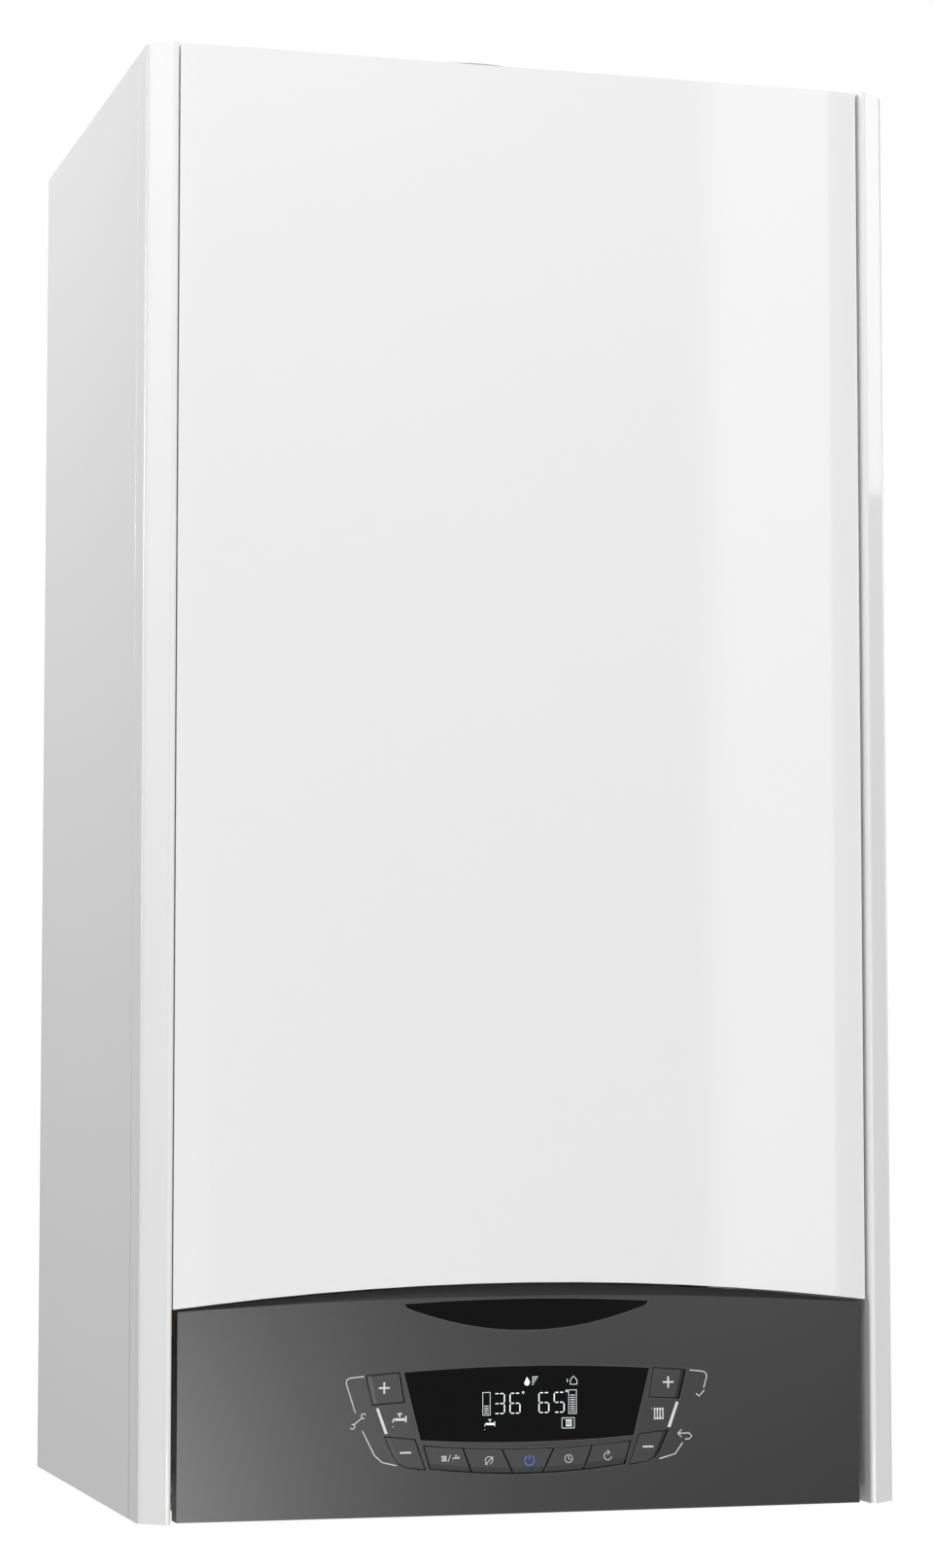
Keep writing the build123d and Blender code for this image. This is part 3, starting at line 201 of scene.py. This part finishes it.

# Rims: the raised moulded edge round the badge, the display window, the key row and the four outer keys.
# They are the fascia's ABS, coloured a lighter grey as a painted highlight where the light from above would
# catch them.
RIM_HIGHLIGHT_GREY = "#555555"
RIM_WIDE = 0.42
RIM_HIGH = 0.00022
LENS_RIM_OUT = 0.5
KEY_RIM_OUT = 0.7
WINDOW = dict(top=(64.7, 71.6), low=(56.2, 38.0), crown=73.8, sag=36.0)
BADGE = dict(top=(64.5, 105.9), low=(63.0, 103.8), crown=107.8, sag=92.3)
KEY_ROW = dict(top=(54.9, 35.0), low=(51.5, 23.3), crown=32.3, sag=20.1)
PLUS_KEY = [(67.3, 71.8), (84.5, 70.4), (81.1, 56.0), (64.8, 57.0)]
MINUS_KEY = [(59.3, 38.3), (75.2, 40.0), (70.6, 29.8), (68.0, 26.4), (64.0, 24.3), (53.9, 23.1)]


def bowed_line(x0, x1, crown, end, count=12):
    """Points along a shallow symmetric arc whose height is crown in the middle and end[1] at end[0]."""
    xs = [x0 + (x1 - x0) * i / count for i in range(count + 1)]
    return [(x, crown + (end[1] - crown) * (x / end[0]) ** 2) for x in xs]


def lens(top, low, crown, sag):
    """Closed outline between two shallow arcs."""
    return bowed_line(-top[0], top[0], crown, top) + bowed_line(low[0], -low[0], sag, low)


def spread(points, by):
    """Outline moved outwards by a distance in millimetres from its centre."""
    cx = sum(p[0] for p in points) / len(points)
    cz = sum(p[1] for p in points) / len(points)
    wide = max(abs(p[0] - cx) for p in points)
    high = max(abs(p[1] - cz) for p in points)
    return [(cx + (x - cx) * (1 + by / wide), cz + (z - cz) * (1 + by / high)) for x, z in points]


def flip(points):
    """Outline mirrored from right to left."""
    return [(-x, z) for x, z in points]


INK_HIGH = 0.00006


def ink(name, lines, wide, body, material, plane=None, fills=(), high=INK_HIGH):
    """Strokes and filled shapes in (x, z) millimetres, lying on the bowed face or on a flat plane."""
    curve = bpy.data.curves.new(name, "CURVE")
    curve.dimensions = "3D"
    curve.bevel_depth = wide / 2000
    curve.bevel_resolution = 1
    curve.use_fill_caps = True
    for line in lines:
        closed = line[0] == line[-1] and len(line) > 2
        points = line[:-1] if closed else line
        spline = curve.splines.new("POLY")
        spline.points.add(len(points) - 1)
        spline.use_cyclic_u = closed
        for point, (x, z) in zip(spline.points, points):
            point.co = (x / 1000, 0, z / 1000, 1)
    piece = bpy.data.objects.new(name, curve)
    bpy.context.scene.collection.objects.link(piece)
    bpy.ops.object.select_all(action="DESELECT")
    piece.select_set(True)
    bpy.context.view_layer.objects.active = piece
    bpy.ops.object.convert(target="MESH")
    piece = bpy.context.view_layer.objects.active
    mesh = bmesh.new()
    mesh.from_mesh(piece.data)
    for vertex in mesh.verts:
        vertex.co.y *= high / (wide / 1000)
    for fill in fills:
        face = mesh.faces.new([mesh.verts.new((x / 1000, high / 2, z / 1000)) for x, z in fill])
        grown = bmesh.ops.extrude_face_region(mesh, geom=[face])["geom"]
        for vertex in [g for g in grown if isinstance(g, bmesh.types.BMVert)]:
            vertex.co.y -= high
    for vertex in mesh.verts:
        vertex.co.y += face_y(vertex.co.x) if plane is None else plane
    bmesh.ops.recalc_face_normals(mesh, faces=mesh.faces)
    mesh.to_mesh(piece.data)
    mesh.free()
    piece.name = name
    piece.data.materials.clear()
    piece.data.materials.append(material)
    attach(piece, body)
    return piece


# The rims are drawn in a lighter grey than the fascia: a painted highlight along their edges.
rim_highlight_abs = surface("rim_abs_painted_highlight", RIM_HIGHLIGHT_GREY, 0.36, 0.0, GRAIN_MM, 0.05, 0.1)
rims = [spread(lens(**shape), LENS_RIM_OUT) for shape in (WINDOW, BADGE, KEY_ROW)]
rims += [spread(key, KEY_RIM_OUT) for key in (PLUS_KEY, MINUS_KEY, flip(PLUS_KEY), flip(MINUS_KEY))]
rim = ink("fascia_rims_painted_highlight", [r + r[:1] for r in rims], RIM_WIDE, "control_panel", rim_highlight_abs, high=RIM_HIGH)

# Keys: grey ABS caps, each with softened edges and one sloping facet that a fingertip finds. The row
# keys slope along their lower side, the plus and minus keys along their outer side.
KEY_GREY = "#1e1e1e"
key_abs = surface("grained_key_abs", KEY_GREY, 0.32, 0.0, GRAIN_MM, 0.1, 0.03, Specular_IOR_Level=0.75)
CAP_DEEP = 0.0038
CAP_EDGE = 0.00035
FACET_DROP = 0.0007
FACET_UP = 3.1
KEY_INSET = 0.2


def key_cap(node, corners, facet_at, facet_away):
    """Cap inside its outline; the facet starts at facet_at and falls away towards facet_away."""
    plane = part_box(node)[0].y
    bpy.ops.object.select_all(action="DESELECT")
    bpy.ops.mesh.primitive_circle_add(vertices=len(corners), radius=0.01, fill_type="NGON")
    cap = bpy.context.object
    cap.name = node.replace("_key", "_key_cap")
    for vertex, (x, z) in zip(cap.data.vertices, corners):
        vertex.co = (x / 1000, plane, z / 1000)
    bpy.ops.object.mode_set(mode="EDIT")
    bpy.ops.mesh.select_all(action="SELECT")
    bpy.ops.mesh.extrude_region_move(TRANSFORM_OT_translate={"value": (0, CAP_DEEP, 0)})
    bpy.ops.mesh.select_all(action="SELECT")
    bpy.ops.mesh.bisect(plane_co=(facet_at[0] / 1000, plane, facet_at[1] / 1000),
                        plane_no=(facet_away[0], 0, facet_away[1]))
    away = Vector((facet_away[0], facet_away[1])).normalized()
    start = Vector(facet_at) / 1000

    def beyond(co):
        return (Vector((co.x, co.z)) - start).dot(away)

    mesh = bmesh.from_edit_mesh(cap.data)
    furthest = max(beyond(v.co) for v in mesh.verts)
    for vertex in mesh.verts:
        if vertex.co.y < plane + CAP_DEEP / 2 and beyond(vertex.co) > 1e-6:
            vertex.co.y += FACET_DROP * beyond(vertex.co) / furthest
    bmesh.ops.recalc_face_normals(mesh, faces=mesh.faces)
    bmesh.update_edit_mesh(cap.data)
    bpy.ops.object.mode_set(mode="OBJECT")
    soften = cap.modifiers.new("rounded_edges", "BEVEL")
    soften.width = CAP_EDGE
    soften.segments = 2
    soften.limit_method = "ANGLE"
    bpy.ops.object.modifier_apply(modifier=soften.name)
    cap.data.materials.clear()
    cap.data.materials.append(key_abs)
    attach(cap, node)
    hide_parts(node)


key_cap("heating_plus_key", PLUS_KEY, (80.6, 64), (1, -0.24))
key_cap("water_plus_key", flip(PLUS_KEY), (-80.6, 64), (-1, -0.24))
key_cap("heating_minus_key", MINUS_KEY, (69.2, 32), (1, -0.45))
key_cap("water_minus_key", flip(MINUS_KEY), (-69.2, 32), (-1, -0.45))

DIVIDERS = [(-54.9, -51.5), (-34.2, -29.6), (-13.7, -7.8), (13.7, 7.8), (34.2, 29.6), (54.9, 51.5)]
ROW_KEYS = ["mode_key", "eco_key", "power_key", "auto_key", "reset_key"]
for row_name, left, right in zip(ROW_KEYS, DIVIDERS, DIVIDERS[1:]):
    upper = bowed_line(left[0] + KEY_INSET, right[0] - KEY_INSET, KEY_ROW["crown"], KEY_ROW["top"], 5)
    lower = bowed_line(right[1] - KEY_INSET, left[1] + KEY_INSET, KEY_ROW["sag"], KEY_ROW["low"], 5)
    middle = (left[1] + right[1]) / 2
    fall = 2 * (KEY_ROW["low"][1] - KEY_ROW["sag"]) * middle / KEY_ROW["low"][0] ** 2
    key_cap(row_name, upper + lower, (middle, lower[2][1] + FACET_UP), (fall, -1))

# Printed marks: pad printed in pale grey ink on the fascia and the key caps, with no lettering.
# The power mark is blue, with a faint painted glow added to its ink.
INK_GREY = "#e2e2e2"
INK_BLUE = "#3c74c8"
SIGN_WIDE = 1.05
FINE_WIDE = 0.42
LINE_WIDE = 0.62
ROW_SCALE = 0.46
pale_ink = surface("pale_grey_ink", INK_GREY, 0.6, 0.0, 0.5, 0.05, 0.06)
# The blue ink also emits a faint glow of its own colour: painted light on a printed mark.
blue_ink_painted_glow = surface("blue_ink_painted_glow", INK_BLUE, 0.5, 0.0, 0.5, 0.05, 0.06, Emission_Color=linear(INK_BLUE),
                   Emission_Strength=0.25)


def ring(cx, cz, r, start=0, end=360, count=16):
    """Points along a circle or part of one, angles in degrees."""
    steps = [math.radians(start + (end - start) * i / count) for i in range(count + 1)]
    return [(cx + r * math.cos(a), cz + r * math.sin(a)) for a in steps]


def tap(cx, cz, k=1.0):
    """Water tap, 7 mm wide at k = 1: strokes, then filled body."""
    lines = [[(1.4, 3.3), (-1.0, 3.3)], [(0.2, 3.3), (0.2, 1.6)], [(3.4, 2.2), (3.4, -1.0)],
             [(-2.4, 0.9), (-3.2, 0.1), (-3.2, -1.0)], [(-3.4, -2.9), (-3.4, -3.2)]]
    body = [(-2.8, 1.1), (3.2, 1.1), (3.2, -0.2), (-2.0, -0.2)]
    strokes = [[(cx + k * x, cz + k * z) for x, z in s] for s in lines]
    return strokes, [[(cx + k * x, cz + k * z) for x, z in body]]


def radiator(cx, cz, k=1.0):
    """Radiator of four bars, 6.5 mm wide at k = 1."""
    bars = [[(x, -3.0), (x, 3.0)] for x in (-1.6, -0.1, 1.4, 2.9)]
    bars += [[(-2.0, 2.3), (3.2, 2.3)], [(-2.0, -2.3), (3.2, -2.3)], [(-3.3, 2.6), (-3.0, 2.6)]]
    return [[(cx + k * x, cz + k * z) for x, z in s] for s in bars]


tap_lines, tap_body = tap(-67.4, 48.0)
frame_lines = [
    [(-85.5, 70.2), (-92.6, 69.6), (-94.4, 68.8), (-94.9, 67.0), (-90.1, 52.2)],
    [(-86.4, 43.1), (-80.3, 30.9), (-76.3, 27.3), (-68.8, 25.5)],
    [(87.0, 70.2), (94.1, 69.4), (95.8, 68.4), (96.2, 66.7), (94.5, 61.0)],
    [(83.0, 33.4), (78.8, 27.8), (70.3, 25.5)],
    [(80.3, 38.1), (86.4, 38.2), (88.0, 36.6), (86.4, 35.1), (84.3, 35.2)],
    [(82.3, 40.0), (80.3, 38.1), (82.3, 36.3)],
    [(90.4, 58.2), (92.0, 56.8), (94.9, 59.8)],
    [(-90.9, 46.3), (-86.5, 49.8)],
    ring(-91.6, 45.4, 1.2, -150, 110, 8), ring(-85.8, 50.5, 1.2, 30, 290, 8),
]
light_bars = [[(-79.5, 54.2), (-78.1, 54.3), (-73.4, 41.5), (-74.9, 41.3)],
              [(79.4, 54.3), (80.8, 54.0), (76.3, 41.3), (74.7, 41.6)]]
marks = [
    ink("fascia_lines", frame_lines, LINE_WIDE, "control_panel", pale_ink, fills=light_bars),
    ink("water_mark", tap_lines, 0.9, "control_panel", pale_ink, fills=tap_body),
    ink("heating_mark", radiator(69.4, 48.4), 0.72, "control_panel", pale_ink),
]
small_tap, small_body = tap(-38.0, 28.4, ROW_SCALE)
key_marks = [
    ("heating_plus_key", SIGN_WIDE, [[(72.3, 64.3), (78.1, 64.3)], [(75.2, 61.4), (75.2, 67.2)]], []),
    ("water_plus_key", SIGN_WIDE, [[(-78.1, 64.3), (-72.3, 64.3)], [(-75.2, 61.4), (-75.2, 67.2)]], []),
    ("heating_minus_key", SIGN_WIDE, [[(61.3, 31.8), (67.1, 31.8)]], []),
    ("water_minus_key", SIGN_WIDE, [[(-67.1, 31.8), (-61.3, 31.8)]], []),
    ("mode_key", FINE_WIDE, radiator(-44.4, 28.4, ROW_SCALE) + [[(-42.1, 26.8), (-40.7, 30.2)]] + small_tap,
     small_body),
    ("eco_key", FINE_WIDE, [
        ring(-20.6, 26.8, 2.0, 20, 250, 12), [(-22.6, 24.8), (-19.0, 28.4), (-18.6, 28.6)],
        [(-18.6, 28.8), (-18.7, 26.6), (-20.0, 25.0)]], []),
    ("auto_key", FINE_WIDE, [ring(21.6, 26.8, 2.0), [(21.6, 28.1), (21.6, 26.8), (22.6, 26.2)]], []),
    ("reset_key", FINE_WIDE, [ring(42.5, 27.6, 2.0, 60, 350, 14), [(42.2, 30.6), (43.6, 29.4), (42.2, 28.3)]],
     []),
]
for node, wide, lines, fills in key_marks:
    mark = ink(node.replace("_key", "_mark"), lines, wide, node, pale_ink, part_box(node)[0].y, fills)
power = ink("power_mark", [ring(0.8, 26.4, 2.5, 118, 422, 20), [(0.8, 28.9), (0.8, 27.0)]], LINE_WIDE,
            "power_key", blue_ink_painted_glow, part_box("power_key")[0].y)

# Display: a negative LCD lit from behind, seen through the black window. Its figures are seven-segment
# digits in short dashes, with bar graphs and small pictograms, and 36 and 65 degrees as it would idle.
LIT_WHITE = "#e4eceb"
lit = surface("lit_lcd_segment", LIT_WHITE, 0.5, 0.0, 1.0, 0.0, 0.02, Emission_Color=linear(LIT_WHITE),
              Emission_Strength=0.75)
SEGMENTS = {"3": "abcdg", "5": "acdfg", "6": "acdefg"}
DIGIT_WIDE = 0.55
SYMBOL_WIDE = 0.32
SEGMENT_GAP = 0.9
FIGURE_Z = 50.3
BAR_LOW = 50.7
BAR_STEP = 1.15


def dash(a, b, count):
    """A segment from a to b drawn as dashes with gaps."""
    out = []
    for i in range(count):
        lo, hi = i / count, (i + 1) / count
        trim = SEGMENT_GAP / 2 / math.dist(a, b)
        out.append([(a[0] + (b[0] - a[0]) * t, a[1] + (b[1] - a[1]) * t) for t in (lo + trim, hi - trim)])
    return out


def digit(char, x, z, w=5.2, h=10.0):
    """Strokes of a seven-segment digit whose lower left corner is (x, z)."""
    ends = {
        "a": ((x, z + h), (x + w, z + h)), "d": ((x, z), (x + w, z)),
        "g": ((x, z + h / 2), (x + w, z + h / 2)),
        "f": ((x, z + h), (x, z + h / 2)), "b": ((x + w, z + h), (x + w, z + h / 2)),
        "e": ((x, z + h / 2), (x, z)), "c": ((x + w, z + h / 2), (x + w, z)),
    }
    return [stroke for s in SEGMENTS[char] for stroke in dash(*ends[s], 2 if s in "adg" else 1)]


def box_line(x0, x1, z0, z1):
    """Closed rectangle."""
    return [(x0, z0), (x1, z0), (x1, z1), (x0, z1), (x0, z0)]


window_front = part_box("display_window")[0].y
figures = []
for char, x in (("3", -17.6), ("6", -9.4), ("6", 5.9), ("5", 14.0)):
    figures += digit(char, x, FIGURE_Z)
graphs = [box_line(-23.8, -19.9, 49.6, 61.0), box_line(21.7, 25.8, 49.5, 61.4)]
levels = [[(-23.0, BAR_LOW + BAR_STEP * i), (-20.7, BAR_LOW + BAR_STEP * i)] for i in range(4)]
levels += [[(22.5, BAR_LOW + BAR_STEP * i), (25.0, BAR_LOW + BAR_STEP * i)] for i in range(8)]
flame = [(-0.5, 68.4), (0.7, 66.6), (1.0, 65.4), (0.4, 64.3),
         (-0.5, 64.0), (-1.4, 64.3), (-1.9, 65.4), (-1.3, 66.6)]
strength = [[(2.2, 68.3 - 0.95 * i), (5.4 - 0.6 * i, 68.3 - 0.95 * i)] for i in range(5)]
house = [(22.6, 64.2), (26.1, 64.2), (26.1, 66.4), (24.3, 68.4), (22.6, 66.4), (22.6, 64.2)]
lcd_tap, lcd_tap_body = tap(-20.2, 44.8, 0.78)
small = graphs + levels + strength + [house, ring(-2.5, 60.6, 0.5, count=8), ring(20.6, 60.9, 0.5, count=8)]
small += radiator(21.4, 44.8, 0.6) + [box_line(18.1, 24.7, 42.2, 47.4), [(21.0, 65.4), (21.0, 67.0)]]
display = [
    ink("display_digits", figures, DIGIT_WIDE, "control_panel", lit, window_front),
    ink("display_symbols", small + lcd_tap, SYMBOL_WIDE, "control_panel", lit, window_front,
        [flame] + lcd_tap_body),
]

# Studio: a pale floor well below the boiler and a white backdrop, both plain white to the camera, and
# five soft lamps. The weak fill is what the coat and the gloss reflect where no lamp stands.
def stage_material(name, colour):
    """Diffuse for the light that falls on the object, and plain white for the camera."""
    material = bpy.data.materials.new(name)
    material.use_nodes = True
    tree = material.node_tree
    tree.nodes.clear()
    out = add_node(material, "ShaderNodeOutputMaterial")
    path = add_node(material, "ShaderNodeLightPath")
    matt = add_node(material, "ShaderNodeBsdfDiffuse", Color=linear(colour))
    white = add_node(material, "ShaderNodeEmission", Color=(1, 1, 1, 1), Strength=1.0)
    mix = add_node(material, "ShaderNodeMixShader", [("Fac", path, "Is Camera Ray")])
    tree.links.new(matt.outputs[0], mix.inputs[1])
    tree.links.new(white.outputs[0], mix.inputs[2])
    tree.links.new(mix.outputs[0], out.inputs["Surface"])
    return material


FLOOR_DROP = 1.2
FLOOR_SIZE = 12
FILL_LIGHT = 0.37
bpy.ops.object.select_all(action="DESELECT")
bpy.ops.mesh.primitive_plane_add(size=FLOOR_SIZE, location=(0, 0, -FLOOR_DROP))
floor = bpy.context.object
floor.name = "studio_floor"
floor.data.materials.append(stage_material("pale_floor", "#e6e6e6"))

world = bpy.data.worlds.new("studio")
bpy.context.scene.world = world
world.use_nodes = True
sky = world.node_tree
sky.nodes.clear()
backdrop = sky.nodes.new("ShaderNodeBackground")
fill = sky.nodes.new("ShaderNodeBackground")
rays = sky.nodes.new("ShaderNodeLightPath")
blend = sky.nodes.new("ShaderNodeMixShader")
sky_out = sky.nodes.new("ShaderNodeOutputWorld")
backdrop.inputs["Strength"].default_value = 1.0
backdrop.inputs["Color"].default_value = (1, 1, 1, 1)
fill.inputs["Color"].default_value = (1, 1, 1, 1)
fill.inputs["Strength"].default_value = FILL_LIGHT
sky.links.new(rays.outputs["Is Camera Ray"], blend.inputs["Fac"])
sky.links.new(fill.outputs[0], blend.inputs[1])
sky.links.new(backdrop.outputs[0], blend.inputs[2])
sky.links.new(blend.outputs[0], sky_out.inputs["Surface"])


def lamp(name, place, aim, size, power, matt=1.0):
    """Area lamp aimed at a point; matt scales the part of it that pale matt surfaces take."""
    data = bpy.data.lights.new(name, "AREA")
    data.diffuse_factor = matt
    data.shape = "RECTANGLE"
    data.size, data.size_y = size
    data.energy = power
    made = bpy.data.objects.new(name, data)
    bpy.context.scene.collection.objects.link(made)
    made.location = place
    made.rotation_euler = (Vector(aim) - Vector(place)).to_track_quat("-Z", "Y").to_euler()


lamp("side_lamp", (-1.2, 0.1, 1.25), (-0.2, -0.15, 0.7), (0.5, 0.5), 13)
lamp("front_lamp", (-0.4, -1.35, 1.6), (-0.08, -0.3, 0.85), (0.7, 0.7), 8.5)
lamp("low_lamp", (-0.3, -3.9, -0.6), (-0.1, -0.3, 0.05), (0.9, 0.6), 44, 0.0)
lamp("strip_lamp", (1.7, -4.0, 1.4), (1.7, 0, 1.4), (0.62, 3.0), 16, 0.1)
lamp("right_lamp", (2.2, -0.2, 1.35), (0.2, -0.3, 0.8), (1.0, 1.0), 9)

# Camera: placed and aimed where the photograph was taken from, a little below the middle of the cabinet
# and to its left, looking slightly up.
PHOTO_HIGH = 1613
FOCAL_PX = 3939.3
SENSOR_MM = 36
CAMERA_AT = (-0.5582, -2.1974, 0.2123)
CAMERA_TILT = 94.609
CAMERA_TURN = -15.606
camera_data = bpy.data.cameras.new("camera")
camera_data.sensor_width = SENSOR_MM
camera_data.sensor_fit = "AUTO"
camera_data.lens = FOCAL_PX / PHOTO_HIGH * SENSOR_MM
camera = bpy.data.objects.new("camera", camera_data)
bpy.context.scene.collection.objects.link(camera)
camera.location = CAMERA_AT
camera.rotation_euler = (math.radians(CAMERA_TILT), 0, math.radians(CAMERA_TURN))
bpy.context.scene.camera = camera
bpy.context.scene.view_settings.view_transform = "Standard"
